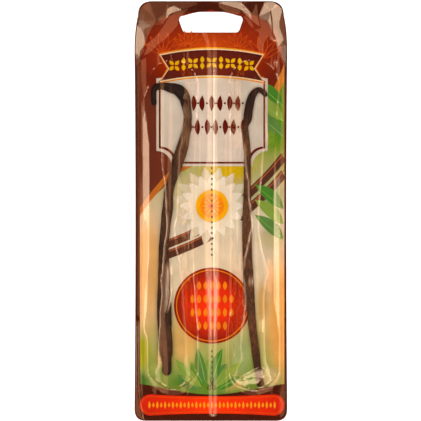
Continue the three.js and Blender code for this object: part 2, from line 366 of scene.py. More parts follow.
# The crumpled header's ridges and valleys, each a line of [x, y, height over the flange]
HEADER_FOLDS = [
    # left: the side facet, the corner, the small facet along the top and the long band down to the side
    [(-37.7, 98, 0), (-35.9, 94.6, 0.5), (-35, 91.8, 0.66), (-34.4, 89.1, 0.8), (-34.1, 87.7, 0.8),
     (-35.3, 85.8, 0.66), (-37.1, 83.8, 0.4), (-38.8, 82.8, 0.1)],
    [(-34.4, 89.1, 0.8), (-33.1, 91.8, 0.76), (-30.4, 97.3, 0.62), (-29.3, 99.8, 0.5), (-27.9, 100.5, 0.48),
     (-23.2, 102.3, 0.44), (-22.8, 106.5, 0.17)],
    [(-22.2, 102.5, 0.72), (-21.7, 106.4, 0.22), (-19.4, 107.5, 0.13), (-16.7, 106, 0.22),
     (-15, 105.4, 0.3), (-17.2, 104.6, 0.47), (-20.5, 103.4, 0.7), (-22.2, 102.5, 0.72)],
    [(-15, 105.4, 0.3), (-10.6, 106.9, 0.14), (-7, 108.3, 0.03), (-6.5, 106.4, 0), (-7.6, 104.5, 0)],
    [(-23.2, 102.3, 0.5), (-23.2, 100.4, 0.62), (-24.9, 97.3, 0.66), (-27.1, 93.5, 0.69), (-30.4, 89.9, 0.72),
     (-33.1, 86.3, 0.6), (-37.1, 80.5, 0.2)],
    [(-7.6, 104.5, 0), (-15.8, 101.4, 0.2), (-16.9, 99.5, 0.1), (-17.2, 97.3, 0.05), (-22.1, 91.8, 0.12),
     (-26, 88.5, 0.18), (-28.7, 86.1, 0.15), (-32.5, 82.6, 0.1), (-36.6, 78.8, 0.02)],
    # middle: the streak under the hole
    [(-4.85, 93.4, 0), (-2.65, 88.8, 0), (-2.2, 85, 0)],
    [(-1.83, 93.4, 0.25), (-0.87, 88.8, 0.16), (-0.7, 85.5, 0.1)], [(8, 93.4, 0), (8, 85, 0)],
    # right: the facets along the top, the wide facet in the corner and the two bands down to the side
    [(3.75, 109.2, 0.03), (9.5, 107.5, 0.35), (13.9, 106, 0.6), (15.6, 105.35, 0.7), (16, 109.2, 0.02)],
    [(3.75, 109.2, 0.03), (4.4, 106.5, 0.02), (6.8, 105.2, 0.1), (13.1, 103.1, 0.45), (15, 103.6, 0.6)],
    [(15.6, 105.35, 0.7), (16.4, 105.3, 0.7), (16.4, 106.9, 0.42), (16.8, 108, 0.06), (18.85, 105.8, 0.05),
     (21.05, 103.2, 0.1), (20.3, 102.6, 0.3), (19.95, 103.2, 0.38), (16.4, 105.3, 0.7)],
    [(28.05, 109.3, 0), (24.9, 101.9, 0), (28.7, 100.1, 0.44), (29.6, 99.25, 0.52), (30.6, 98, 0.63),
     (32.6, 92.9, 0.78), (33.95, 90.2, 0.85), (33.95, 89.6, 0.85), (37.9, 89.5, 0.08)],
    [(21.05, 103.2, 0.1), (24.9, 101.9, 0)],
    [(31.3, 104.7, 1), (32.2, 98.6, 0.98), (32.4, 95.5, 0.85)],
    [(37.3, 104.2, 0), (36.4, 102.3, 0.07), (35.6, 99, 0.12), (35.6, 96.8, 0.12), (37, 92.9, 0.07),
     (37.9, 89.5, 0.05)],
    [(15.6, 105.35, 0.7), (16.1, 104.6, 0.7), (21.05, 99.9, 0.36), (26, 95.8, 0.25), (30.9, 92.1, 0.6),
     (33.95, 89.6, 0.85)],
    [(15, 103.6, 0.6), (17.2, 102, 0.42), (18.85, 99.5, 0.12), (20.2, 97.05, 0.05), (22.15, 94.9, 0),
     (25.4, 92.9, 0.12), (28.7, 90.2, 0.42), (30.7, 90.2, 0.46), (30.9, 92.1, 0.6)],
    [(37.8, 88.4, 0), (34.1, 88.5, 0.45), (34.8, 85.5, 0.34), (36.5, 81, 0.22), (38.3, 77, 0.06)],
    [(20, 90, 0), (24, 86, 0), (28, 80, 0)],
    [(-36, 77, 0), (-16.7, 78, 0), (0, 80, 0), (20, 79, 0), (37, 76, 0)],
]
HEADER_FOOT = 76.0
HEADER_SIDE_STEPS = 14
HEADER_TOP_XS = range(28, -29, -4)

# Facets lower down, drawn in the same way
BODY_FOLDS = [
    # over the left pod: one long facet with a steep right side
    bound(
        (-23.3, -27.5), (-23.9, -38), (-24.2, -47), (-24.4, -55.5), (-22, -51.5), (-20.9, -47.2),
        (-20.4, -41), (-20.2, -34), (-20.6, -27.5),
    ),
    [(-21.2, -29, 0.27), (-20.85, -34, 0.36), (-21.05, -41, 0.38), (-21.6, -47, 0.33),
     (-22.7, -51, 0.2)],
    # the crumpled foot of the right pocket
    bound(
        (12.3, -88.6), (16.1, -86), (22.4, -82.6), (25.8, -81.4), (27.6, -82.2), (27.6, -87.6),
        (24.6, -90.6), (19.5, -90.2), (17.8, -92), (16.6, -93.4), (12.9, -91.6),
    ),
    [(16.1, -86.9, 0.08), (22.7, -83.7, 0.62), (26, -82.5, 0.75), (26.9, -83, 0.7)],
    [(16.6, -87.5, 0), (22.7, -87, 0), (26, -87.6, 0), (26.9, -87.2, 0)],
    [(16.1, -88.6, 0.42), (18, -88.1, 0.42), (22.7, -87.6, 0.44), (24, -88.1, 0.4)],
    [(13.4, -91.2, 0), (16.6, -92.8, 0), (17.7, -91.5, 0), (19.4, -89.7, 0.08), (22.7, -89.9, 0.05),
     (24.2, -90, 0)],
    # the sealed edge down the left side and round its corner
    bound(
        (-41, -54), (-41, -100), (-39, -112), (-34.6, -112), (-36, -104), (-36.9, -99.5),
        (-37.6, -92.5), (-37.6, -56),
    ),
    [(-38.2, -60, 0.2), (-38.1, -92.5, 0.18), (-37.4, -99.5, 0.15), (-36.6, -104, 0.16),
     (-35.4, -110.5, 0.16)],
    # small single facets: over the right pod, beside it lower down, and under the header
    bound((19.6, -34.4), (21.8, -34.4), (21.8, -39.4), (19.6, -39.4)),
    [(21.2, -35.4, 0.24), (21.2, -38.2, 0.22)],
    bound((25.1, -56.4), (27.2, -56.4), (27.2, -63.6), (25.1, -63.6)),
    [(26.6, -57.6, 0.2), (26.5, -62.4, 0.2)],
    bound((32.6, 79.2), (34.8, 79.2), (34.2, 74.8), (32.8, 74.8)),
    [(34.1, 78.2, 0.2), (33.8, 75.8, 0.14)],
]

RIB_X = 1.1  # the tear line up the strip between the pockets
RIB_FOOT = (-HALF_LENGTH + 2, -HALF_LENGTH + 4)
RIB_TOP = (94, 70)
RIB_BANDS = [  # [y, left flank's inner and outer edge, right flank's inner and outer edge from RIB_X, slope]
    (90, 0.4, 2.9, 0.4, 2.0, 0.127), (30, 0.4, 3.1, 0.4, 2.0, 0.127), (20, 0.4, 4.5, 0.5, 3.0, 0.127),
    (-24, 0.4, 4.1, 0.5, 3.0, 0.127), (-40, 0.4, 3.4, 0.5, 3.0, 0.155), (-63, 0.4, 2.4, 0.5, 2.0, 0.155),
    (-72, 0.3, 2.3, 0.4, 2.0, 0.127), (-104, 0.3, 2.2, 0.3, 1.9, 0.127),
]


def stepped(half_length, spacing):
    """Places from one end to the other, with the spacing that the distance to the nearer end asks for."""
    half = [0.0]
    while half[-1] < half_length:
        half.append(half[-1] + spacing(half[-1]))
    half = [value * half_length / half[-1] for value in half]
    return [value - half_length for value in half] + [half_length - value for value in reversed(half[:-1])]


def row_spacing(distance):
    return [step for start, step in ROW_STEPS if distance >= start][-1]


def pleats(kind, x, y):
    """Flat strips that run lengthwise: a height at every step across, joined by straight lines."""
    height, step, seed = kind
    place = x / step + PLEAT_WANDER * wave(0.5, y * PLEAT_BEND, seed)
    index = math.floor(place)
    left, right = (wave(k * PLEAT_APART, y * PLEAT_CHANGE, seed + PLEAT_SEED) for k in (index, index + 1))
    return height * (left + (right - left) * (place - index))


def pocket_place(pocket, x, y):
    """Distance from the pocket's middle line, and the line's nearest y."""
    nearest = min(POCKET_MIDDLE_Y + POCKET_HALF_STRAIGHT, max(POCKET_MIDDLE_Y - POCKET_HALF_STRAIGHT, y))
    return math.hypot(x - pocket["x"], y - nearest), nearest


def pocket_profile(pocket, x, y, radius):
    """Distances from the middle line where a pocket's side changes slope, and its lip's and bevel's slopes."""
    sideways = (x - pocket["x"]) / max(radius, 0.01)
    high_share = 0.5 + 0.5 * sideways
    outer_share = 0.5 + 0.5 * sideways * pocket["outer"]
    lips = zip(along_row(pocket["inner_lip"], y), along_row(pocket["outer_lip"], y))
    reach, width, slope = (inner + (outer - inner) * outer_share for inner, outer in lips)
    low, high = along(pocket["low"], y), along(pocket["high"], y)
    rim = POCKET_RADIUS + reach - width
    edge = min(-low + (high + low) * high_share, rim - RIM_RUN - LEAST_WALL)
    bevels = zip(along_row(pocket["low_bevel"], y), along_row(pocket["high_bevel"], y))
    bevel, bevel_slope = (at_low + (at_high - at_low) * high_share for at_low, at_high in bevels)
    across, up, seed = BEVEL_WAVES
    bevel *= (1 + BEVEL_UNEVENNESS * wave(sideways * across, y * up, seed)) * eased(*BEVEL_REACH, abs(sideways))
    places = {
        "foot": POCKET_RADIUS + reach,
        "rim": rim,
        "edge": edge,
        "crest": edge - max(LEAST_BEVEL, bevel),
    }
    return places, slope, bevel_slope


def pocket_height(pocket, x, y):
    """How high the pocket stands over the flange here, 0 outside it."""
    radius, _ = pocket_place(pocket, x, y)
    places, lip_slope, bevel_slope = pocket_profile(pocket, x, y, radius)
    if radius >= places["foot"]:
        return 0.0
    lip = lip_slope * (places["foot"] - max(radius, places["rim"]))
    if radius >= places["rim"]:
        return lip
    pleat = pleats(CREST_PLEAT, x, y) * eased(places["crest"], places["crest"] * CREST_PLEAT_WHOLE, radius)
    crest = CREST_RISE + pleat + CREST_DOME * (1 - (radius / POCKET_RADIUS) ** 2)
    shoulder = CREST_RISE + CREST_DOME * (1 - (places["crest"] / POCKET_RADIUS) ** 2)
    shoulder += bevel_slope * (places["crest"] - radius)
    edge_height = shoulder + bevel_slope * (radius - places["edge"])
    wall_foot = places["rim"] - RIM_RUN
    rim_rise = RIM_RISE * eased(*RIM_FADE, y)
    wall = lip + rim_rise * min(1.0, (places["rim"] - radius) / RIM_RUN)
    up_wall = max(0.0, wall_foot - radius) / (wall_foot - places["edge"])
    wall += (edge_height - lip - rim_rise) * up_wall * (WALL_FOOT + (1 - WALL_FOOT) * up_wall)
    sideways = (x - pocket["x"]) / radius
    pleat = pleats(WALL_PLEAT, x, y) * sideways**2
    wall += pleat * eased(*WALL_PLEAT_FOOT, up_wall) * eased(*WALL_PLEAT_TOP, up_wall)
    return min(wall, shoulder, crest)


def rib_height(x, y):
    """The low double rib up the strip between the pockets, with the tear line in its middle."""
    left_in, left_out, right_in, right_out, slope = along_row(RIB_BANDS, y)
    aside = x - RIB_X
    inner, outer = (right_in, right_out) if aside > 0 else (left_in, left_out)
    rise = slope * (outer - min(outer, max(inner, abs(aside))))
    return rise * eased(*RIB_FOOT, y) * eased(*RIB_TOP, y)


def folded_surface(lines):
    """Flat facets between fold lines of [x, y, height]."""
    points, ties = [], []
    for line in lines:
        for point in line:
            if point not in points:
                points.append(point)
        ties += [(points.index(a), points.index(b)) for a, b in zip(line, line[1:])]
    flat = [Vector(point[:2]) for point in points]
    spots, _, faces, sources, _, _ = geometry.delaunay_2d_cdt(flat, ties, [], 0, 1e-5)
    corners = [Vector((spot.x, spot.y, points[source[0]][2])) for spot, source in zip(spots, sources)]
    return BVHTree.FromPolygons(corners, faces)


def header_surface():
    """The crumpled header, from its foot up to the film's own outline."""
    side = []
    for i in range(HEADER_SIDE_STEPS + 1):
        turn = math.pi / 2 * i / HEADER_SIDE_STEPS
        y = HEADER_FOOT + (FILM_HALF_LENGTH - HEADER_FOOT) * math.sin(turn)
        side.append((film_half_width(y), y, 0.0))
    top_edge = [(x, FILM_HALF_LENGTH, 0.0) for x in HEADER_TOP_XS]
    outline = side + top_edge + [(-x, y, 0.0) for x, y, _ in reversed(side)]
    return folded_surface(HEADER_FOLDS + [outline])


def met_from_above(surface, x, y):
    """Where a ray straight down meets a surface and the face's normal there, or None and None."""
    return surface.ray_cast(Vector((x, y, ABOVE_ALL)), Vector((0, 0, -1)))[:2]


def height_on(surface, x, y):
    spot, _ = met_from_above(surface, x + RAY_NUDGE[0], y + RAY_NUDGE[1])
    return spot.z if spot else 0.0


def film_height(header, body, x, y):
    """Height of the film's upper face over its loose flange."""
    pockets = max(pocket_height(pocket, x, y) for pocket in POCKETS.values())
    folds = height_on(body, x, y)
    if pockets > 0:
        return pockets + folds
    return rib_height(x, y) + folds + (height_on(header, x, y) if y > HEADER_FOOT else 0.0)


def sides_of(outline):
    return zip(outline, outline[1:] + outline[:1])


def inside_outline(point, outline):
    crossings = 0
    for (x0, y0), (x1, y1) in sides_of(outline):
        if (y0 > point[1]) != (y1 > point[1]):
            crossings += point[0] < x0 + (point[1] - y0) * (x1 - x0) / (y1 - y0)
    return crossings % 2 == 1


def cut_hang_hole(bm):
    """Cuts the sheet along each side of the hang hole's rim and takes out what lies inside it."""
    for (x0, y0), (x1, y1) in sides_of(HOLE_OUTLINE):
        middle = Vector(((x0 + x1) / 2, (y0 + y1) / 2))
        reach = math.hypot(x1 - x0, y1 - y0) / 2 + CUT_MARGIN
        near = [f for f in bm.faces if (f.calc_center_median().xy - middle).length < reach]
        parts = list(set(near) | {e for f in near for e in f.edges} | {v for f in near for v in f.verts})
        across = (y1 - y0, x0 - x1, 0)
        bmesh.ops.bisect_plane(bm, geom=parts, dist=0.01, plane_co=(x0, y0, 0), plane_no=across)
    inner = [f for f in bm.faces if inside_outline(f.calc_center_median().xy, HOLE_OUTLINE)]
    bmesh.ops.delete(bm, geom=inner, context="FACES")


def loose_share(x, y):
    """0 where the film is sealed to the sheet at its edge, 1 where it is loose."""
    return eased(0, SEAL_WIDTH, min(film_half_width(y) - abs(x), FILM_HALF_LENGTH - abs(y)))


def snap_to_pocket(x, y):
    """Moves a point that is close to a line where a pocket's side changes slope onto that line."""
    for pocket in POCKETS.values():
        radius, nearest = pocket_place(pocket, x, y)
        places, _, _ = pocket_profile(pocket, x, y, radius)
        for target in (*places.values(), places["rim"] - RIM_RUN):
            if radius > 1 and abs(radius - target) < SNAP_REACH:
                pull = target / radius
                return pocket["x"] + (x - pocket["x"]) * pull, nearest + (y - nearest) * pull
    return x, y


def make_film(material):
    """The film's upper face, thickened downwards; what comes back is that face, in millimetres."""
    columns = stepped(1.0, lambda distance: COLUMN_STEP / FILM_HALF_WIDTH)
    rows = stepped(FILM_HALF_LENGTH, row_spacing)
    bm = bmesh.new()
    bmesh.ops.create_grid(bm, x_segments=len(columns) - 1, y_segments=len(rows) - 1, size=1)
    for vert in bm.verts:
        column = columns[round((vert.co.x + 1) / 2 * (len(columns) - 1))]
        y = rows[round((vert.co.y + 1) / 2 * (len(rows) - 1))]
        narrowing = FILM_HALF_WIDTH - film_half_width(y)
        x = column * FILM_HALF_WIDTH - math.copysign(narrowing * abs(column) ** 3, column)
        vert.co = (*snap_to_pocket(x, y), 0)
    cut_hang_hole(bm)
    header = header_surface()
    body = folded_surface(BODY_FOLDS)
    for vert in bm.verts:
        x, y, _ = vert.co
        loose = loose_share(x, y)
        rest = FILM_REST * loose + FILM_SEAL * (1 - loose)
        height = film_height(header, body, x, y)
        ripple = pleats(FLANGE_PLEAT, x, y) * eased(*RIPPLE_TOP, y) * eased(*RIPPLE_FOOT, y) * loose**3
        ripple *= eased(*RIPPLE_HEIGHT, height) * eased(*RIPPLE_ASIDE, abs(x - RIB_X))
        vert.co.z = rest + FILM_WALL + ripple + height
    bm.normal_update()
    for edge in bm.edges:
        edge.smooth = edge.is_manifold and edge.calc_face_angle() < math.radians(SHARP_FOLD)
    upper_face = BVHTree.FromBMesh(bm)
    finish_piece(bm, "clear_film", [material], replaces="film", thickness=FILM_WALL)
    return upper_face


FILM_TINT = (0.978, 0.972, 0.965, 1)
FILM_MIRROR = (1.0, 0.68, 0.45, 1)
FILM_MIRROR_ROUGHNESS = 0.06
FILM_MIRROR_SHARE = (0.13, 0.6)  # of the light, face on and edge on
FILM_MIRROR_POWER = 4.0


def film_material():
    """Clear film: light passes straight through, and a face mirrors more the more it is turned away."""
    material, tree, shader = new_material("clear film")
    tree.nodes.remove(shader)
    facing = add_node(tree, "LayerWeight", {"Blend": 0.5}).outputs["Facing"]
    share = spread(tree, maths(tree, "POWER", facing, FILM_MIRROR_POWER), *FILM_MIRROR_SHARE)
    clear = add_node(tree, "BsdfTransparent", {"Color": FILM_TINT})
    gloss = add_node(tree, "BsdfGlossy", {"Color": FILM_MIRROR, "Roughness": FILM_MIRROR_ROUGHNESS})
    mix = add_node(tree, "MixShader", {0: share, 1: clear.outputs[0], 2: gloss.outputs[0]})
    tree.links.new(mix.outputs[0], tree.nodes["Material Output"].inputs["Surface"])
    return material


# ---- The pods ----
LEFT_POD = [  # [x, y, width] along the middle, from the curled stem to the blossom end
    (-29.6, 55.2, 3), (-30, 59.7, 2.9), (-29.9, 62.9, 3), (-28.6, 65, 3.6), (-25.3, 65.4, 3.9),
    (-21.2, 64.6, 5.4), (-17.2, 63.3, 6.6), (-14.2, 60.2, 6.6), (-12.9, 55, 5.2), (-12.2, 50, 4.9),
    (-12.4, 45, 4.9), (-13.2, 40.2, 5), (-14.7, 33.6, 6.3), (-16.9, 26.9, 6.6), (-18.6, 21.3, 6),
    (-21.8, 11.3, 5), (-22.6, 1.2, 6), (-24, -8.9, 5.7), (-24.8, -18.9, 5.6), (-24.6, -29, 6.2),
    (-24.3, -47.3, 8), (-23.9, -62.5, 8.1), (-23.5, -70.5, 8), (-23.4, -75, 7.1), (-23.2, -77.8, 5.6),
    (-23, -80.4, 5), (-23.1, -83.2, 5.2), (-23.4, -86.2, 4.6),
]
RIGHT_POD = [
    (28.8, 59.8, 2.8), (28.2, 61.4, 2.7), (25.6, 63.4, 2.9), (23.1, 62.4, 3.6), (21.1, 58.9, 4.3),
    (19.8, 53.5, 4.8), (19.1, 48.1, 4.8), (18.3, 44.4, 3), (18.1, 40.1, 4), (18.8, 33.3, 3.9),
    (19.1, 26.6, 3.7), (19, 11.2, 4), (18.9, -5.5, 5.2), (19.2, -24.7, 5.4), (19.7, -36.7, 6),
    (20.6, -48, 4.9), (21.7, -60.8, 4.6), (23.3, -73, 4.5), (25, -84.5, 4.2), (25.6, -88, 3.8),
    (25.9, -90.3, 4.4), (26.1, -92.4, 3.9),
]
POD_FLATNESS = 0.6
POD_LEAST_THICKNESS = 0.6
POD_REST_Z = SHEET_TOP + 0.24
POD_ROOM = 0.12  # least gap between a pod and the film over it
LEAST_UPRIGHTNESS = 0.2  # of a film face's normal, where its wall's thickness is taken upwards
POD_SIDES = 84
POD_RING_STEP = 0.3
POD_END_RINGS = [0.02, 0.08, 0.18, 0.32, 0.5, 0.72]  # places of an end's rings, as shares of its half width
ROUTE_STEPS = 40  # from one station to the next, to measure the length
FIBRE_UNIT = 10  # millimetres of length in one unit of the fibres' map
FOLDS = [  # lengthwise folds: how many go round, depth as a share of the radius, drift in radians a millimetre
    (3, 0.075, 0.030), (5, 0.075, -0.047), (9, 0.042, 0.075), (15, 0.022, -0.06),
]
FOLD_WANDER = 1.4
FOLD_WANDER_RATE = 0.05  # bumps a millimetre along the pod
FOLD_STRENGTH = (0.75, 0.6)  # mean, and how much it changes along the pod
FOLD_STRENGTH_RATE = 0.06
FURROW_SHARPNESS = 0.7
WRINKLES = (0.03, 2.2, 0.55)  # depth as a share of the radius, bumps round the pod and a millimetre along it
DENTS = (0.05, 0.8, 0.3)
STRENGTH_SEED, DENT_SEED = 4, 20  # added to the pod's own seed


def smooth_route(stations, t):
    """Catmull-Rom point and heading at t, which counts stations."""
    index = min(int(t), len(stations) - 2)
    share = t - index
    points = [Vector(stations[min(max(index + k, 0), len(stations) - 1)]) for k in (-1, 0, 1, 2)]
    if index == 0:
        points[0] = 2 * points[1] - points[2]
    if index == len(stations) - 2:
        points[3] = 2 * points[2] - points[1]
    a, b, c, d = points
    second, third = 2 * a - 5 * b + 4 * c - d, 3 * b - a - 3 * c + d
    point = 0.5 * (2 * b + (c - a) * share + second * share**2 + third * share**3)
    heading = 0.5 * ((c - a) + 2 * second * share + 3 * third * share**2)
    return point, heading


def even_rings(stations):
    """Evenly spaced rings, closer at both ends, each (middle with width as z, heading, distance, rounding)."""
    count = (len(stations) - 1) * ROUTE_STEPS
    fine = [smooth_route(stations, i / ROUTE_STEPS) for i in range(count + 1)]
    distance = [0.0]
    for (before, _), (after, _) in zip(fine, fine[1:]):
        distance.append(distance[-1] + (after.xy - before.xy).length)
    total = distance[-1]
    steps = int(total / POD_RING_STEP)
    first, last = stations[0][2] / 2, stations[-1][2] / 2
    places = [first * share for share in POD_END_RINGS]
    places += [first + (total - first - last) * i / steps for i in range(steps + 1)]
    places += [total - last * share for share in reversed(POD_END_RINGS)]
    rings, index = [], 0
    for place in places:
        while distance[index + 1] < place and index < len(distance) - 2:
            index += 1
        share = (place - distance[index]) / (distance[index + 1] - distance[index])
        middle, heading = (before.lerp(after, share) for before, after in zip(fine[index], fine[index + 1]))
        from_end = min(1.0, place / first, (total - place) / last)
        rings.append((middle, heading.xy.normalized(), place, math.sqrt(1 - (1 - from_end) ** 2)))
    return rings


def fold_share(angle, place, seed):
    """How far the skin stands in from the full oval, from 0, with sharp furrows and rounded folds between."""
    depth = 0.0
    mean, change = FOLD_STRENGTH
    for count, share, drift in FOLDS:
        wander = FOLD_WANDER * wave(place * FOLD_WANDER_RATE, count, seed)
        turn = count * angle + drift * place * 2 + seed * count + wander
        strength = mean + change * wave(place * FOLD_STRENGTH_RATE, count * 3, seed + STRENGTH_SEED)
        depth += share * strength * (1 - abs(math.sin(turn / 2)) ** FURROW_SHARPNESS) * 2
    share, around, lengthwise = WRINKLES
    depth += share * wave(math.cos(angle) * around, place * lengthwise, seed + math.sin(angle) * around)
    share, around, lengthwise = DENTS
    return depth + share * wave(math.cos(angle) * around, place * lengthwise, seed + DENT_SEED)


def pressed_under(cover, x, y, z):
    """The height z at this place, or as high as the film over it leaves room for."""
    spot, normal = met_from_above(cover, x, y)
    if spot is None:
        return z
    ceiling = spot.z - FILM_WALL / max(LEAST_UPRIGHTNESS, abs(normal.z)) - POD_ROOM
    return min(z, max(POD_REST_Z, ceiling))


def make_pod(name, node, stations, seed, material, cover):
    """A pod lies on the sheet, under its cover: a flattened, lengthwise folded tube with rounded ends."""
    rings = even_rings(stations)
    bm = bmesh.new()
    bmesh.ops.create_cone(bm, cap_ends=True, segments=POD_SIDES, radius1=1, radius2=1, depth=2)
    long_edges = [e for e in bm.edges if abs(e.verts[0].co.z - e.verts[1].co.z) > 1]
    bmesh.ops.subdivide_edges(bm, edges=long_edges, cuts=len(rings) - 2, use_grid_fill=True)
    uv_layer = bm.loops.layers.uv.new("along")
    spots = {}
    for vert in bm.verts:
        level = round((vert.co.z + 1) / 2 * (len(rings) - 1))
        angle = math.atan2(vert.co.y, vert.co.x)
        middle, heading, place, rounding = rings[level]
        spots[vert] = (place, angle)
        skin = rounding * (1 - fold_share(angle, place, seed))
        side = Vector((-heading.y, heading.x)) * (middle.z / 2 * skin)
        x, y = middle.xy + side * math.cos(angle)
        thickness = middle.z * POD_FLATNESS + POD_LEAST_THICKNESS
        z = POD_REST_Z + thickness / 2 * (1 + skin * math.sin(angle))
        vert.co = (x, y, pressed_under(cover, x, y, z))
    for face in bm.faces:
        angles = [spots[loop.vert][1] for loop in face.loops]
        wraps = max(angles) - min(angles) > math.pi
        for loop in face.loops:
            place, angle = spots[loop.vert]
            round_share = angle / (2 * math.pi) + (1 if wraps and angle < 0 else 0)
            loop[uv_layer].uv = (round_share, place / FIBRE_UNIT)
    bmesh.ops.recalc_face_normals(bm, faces=bm.faces)
    finish_piece(bm, name, [material], replaces=node)


POD_TONES = [  # height up the pack in millimetres and what the skin's colour is multiplied by there, darker towards both ends
    (-95, (124, 112, 102)), (-87, (196, 180, 166)), (-76, (250, 238, 222)), (-50, (255, 244, 230)),
    (36, (255, 244, 230)), (52, (126, 98, 82)), (70, (114, 82, 66)),
]
# skin colours along the fibres' noise, dark in its furrows and paler on its raised ridges: partly the fibres'
# own tone, partly a painted highlight on the ridges
SKIN_AND_RIDGE_HIGHLIGHT_STOPS = [(0.30, (62, 36, 21)), (0.50, (92, 58, 36)), (0.70, (122, 85, 54))]
PATCH_STOPS = [(0.35, (170, 160, 150)), (0.65, (255, 250, 240))]
SPECK_STOPS = [(0.40, (150, 140, 130)), (0.62, (255, 255, 255))]
SPECK_SHARE = 0.8
SKIN_ROUGHNESS = (0.38, 0.66)
POD_SPECULAR = 0.22
FIBRE_STRETCH = (15, 2.2, 1)
FIBRES, GRAIN, PATCHES = (1.6, 6), (1500, 3), (90, 3)  # scale and detail of each noise
RIDGE_BUMP = {"Distance": 0.00025, "Strength": 0.7}
PORE_BUMP = {"Distance": 0.00008, "Strength": 0.5}


def pod_material(name, lightness):
    """Dark leathery skin: fine lengthwise fibres whose raised ridges are painted paler, partly their own tone
    and partly a painted highlight, and a faint oily sheen.
    """
    material, tree, shader = new_material(name, Specular_IOR_Level=POD_SPECULAR)
    uv = add_node(tree, "UVMap", uv_map="along")
    along_pod = add_node(tree, "Mapping", {"Vector": uv.outputs[0], "Scale": FIBRE_STRETCH})
    fibres = noise_map(tree, along_pod.outputs[0], *FIBRES)
    place = object_place(tree)
    grain = noise_map(tree, place, *GRAIN)
    patches = noise_map(tree, place, *PATCHES)
    low, high = POD_TONES[0][0], POD_TONES[-1][0]
    height = gradient(tree, object_place(tree, (0, low), (high - low, 1), 90))
    tones = [((y - low) / (high - low), tone) for y, tone in POD_TONES]
    skins = [(share, [lightness * value for value in shade]) for share, shade in SKIN_AND_RIDGE_HIGHLIGHT_STOPS]
    # the paler colour on the ridges here is partly a painted highlight
    colour = colour_ramp(tree, fibres, skins)
    washes = [(1.0, patches, PATCH_STOPS), (SPECK_SHARE, grain, SPECK_STOPS), (1.0, height, tones)]
    for share, factor, stops in washes:
        colour = mix_colours(tree, share, colour, colour_ramp(tree, factor, stops), "MULTIPLY")
    ridges = add_node(tree, "Bump", {"Height": fibres, **RIDGE_BUMP}).outputs["Normal"]
    pores = add_node(tree, "Bump", {"Height": grain, "Normal": ridges, **PORE_BUMP}).outputs["Normal"]
    feed(tree, shader.inputs["Base Color"], colour)
    feed(tree, shader.inputs["Roughness"], spread(tree, fibres, *SKIN_ROUGHNESS))
    feed(tree, shader.inputs["Normal"], pores)
    return material


# ---- The print on the sheet ----
# Plain fields of ink and simple ornaments, each a very thin plate one step above what it is printed over.
INK_STEP = 0.012
INK_THICKNESS = 0.008
GRAIN_NOISE = (110, 4)
GRAIN_SHARE = 0.8
GRAIN_STOPS = [(0.3, (232, 230, 226)), (0.7, (255, 255, 255))]
INK_ROUGHNESS = (0.42, 0.6)
INK_SPECULAR = 0.03
CURVE_STEPS = 12
ARCH_STEPS = 64
EDGE_STEPS = 12  # in half the length of a ribbon's or a banner's long edge
LEAF_TIP = 0.05
LEAF_SHARES = [0.62, 0.95, 1, 0.85, 0.5]  # of its full width, from base to tip

HOLE_MIDDLE_Y = 99.4
HOLE_GROWTH = (1.012, 1.03)  # so that no ink hangs over the hang hole's edge
HOLE_MARGIN = [
    (x * HOLE_GROWTH[0], HOLE_MIDDLE_Y + (y - HOLE_MIDDLE_Y) * HOLE_GROWTH[1]) for x, y in HOLE_OUTLINE
]

FIELD_LEFT = -37.2
FIELD_RIGHT = 38.5
FIELD_MIDDLE = (FIELD_LEFT + FIELD_RIGHT) / 2
FIELD_HALF = (FIELD_RIGHT - FIELD_LEFT) / 2
FIELD_FOOT = [(FIELD_LEFT, -90.6), (FIELD_MIDDLE, -96.2), (FIELD_RIGHT, -90.6)]
FIELD_TOP = [(FIELD_RIGHT, 70), (FIELD_LEFT, 1)]  # hidden under the band and the header
ARCH_FOOT_Y = 60.0
ARCH_TOP_Y = 104.4
ARCH_SQUARENESS = 3.6
SWEEP = [(-37.4, 1.5), (-30, 11.5), (-19, 23), (0, 34), (20.6, 49), (31, 61), (38.6, 77)]
SWEEP_BAND_DROP = [4.2, 4.4, 4.8, 5.4, 6.2, 7.2, 9.0]


def curve(knots):
    """Points and headings on a smooth curve through the knots, ends included."""
    stations = [(x, y, 0.0) for x, y in knots]
    count = (len(stations) - 1) * CURVE_STEPS
    return [smooth_route(stations, i / CURVE_STEPS) for i in range(count + 1)]


def curve_points(knots):
    return [tuple(point.xy) for point, _ in curve(knots)]


def arch_points():
    """The arch over the header as a squarish half oval, from its right foot to its left."""
    points = []
    for i in range(ARCH_STEPS + 1):
        across, up = math.cos(math.pi * i / ARCH_STEPS), math.sin(math.pi * i / ARCH_STEPS)
        x = FIELD_MIDDLE + FIELD_HALF * math.copysign(abs(across) ** (2 / ARCH_SQUARENESS), across)
        points.append((x, ARCH_FOOT_Y + (ARCH_TOP_Y - ARCH_FOOT_Y) * up ** (2 / ARCH_SQUARENESS)))
    return points


def lowered(knots, drops):
    return [(x, y - drop) for (x, y), drop in zip(knots, drops)]


def moved(points, centre):
    return [(centre[0] + x, centre[1] + y) for x, y in points]


def oval(centre, reach, steps=48):
    turns = [2 * math.pi * i / steps for i in range(steps)]
    return moved([(reach[0] * math.cos(turn), reach[1] * math.sin(turn)) for turn in turns], centre)


def strip(knots, widths):
    """A band along a smooth curve; its width runs evenly through widths from end to end."""
    places = curve(knots)
    left, right = [], []
    for i, (point, heading) in enumerate(places):
        place = i / (len(places) - 1) * (len(widths) - 1)
        low = min(int(place), len(widths) - 2)
        half = (widths[low] + (widths[low + 1] - widths[low]) * (place - low)) / 2
        side = Vector((-heading.y, heading.x)).normalized() * half
        left.append(tuple(point.xy + side))
        right.append(tuple(point.xy - side))
    return left + right[::-1]


def leaf(base, tip, width, bow=0.0):
    """A pointed oval from base to tip, bowed sideways."""
    run = Vector((tip[0] - base[0], tip[1] - base[1]))
    side = Vector((-run.y, run.x)).normalized() * bow
    middle = ((base[0] + tip[0]) / 2 + side.x, (base[1] + tip[1]) / 2 + side.y)
    return strip([base, middle, tip], [LEAF_TIP, *(width * share for share in LEAF_SHARES), LEAF_TIP])


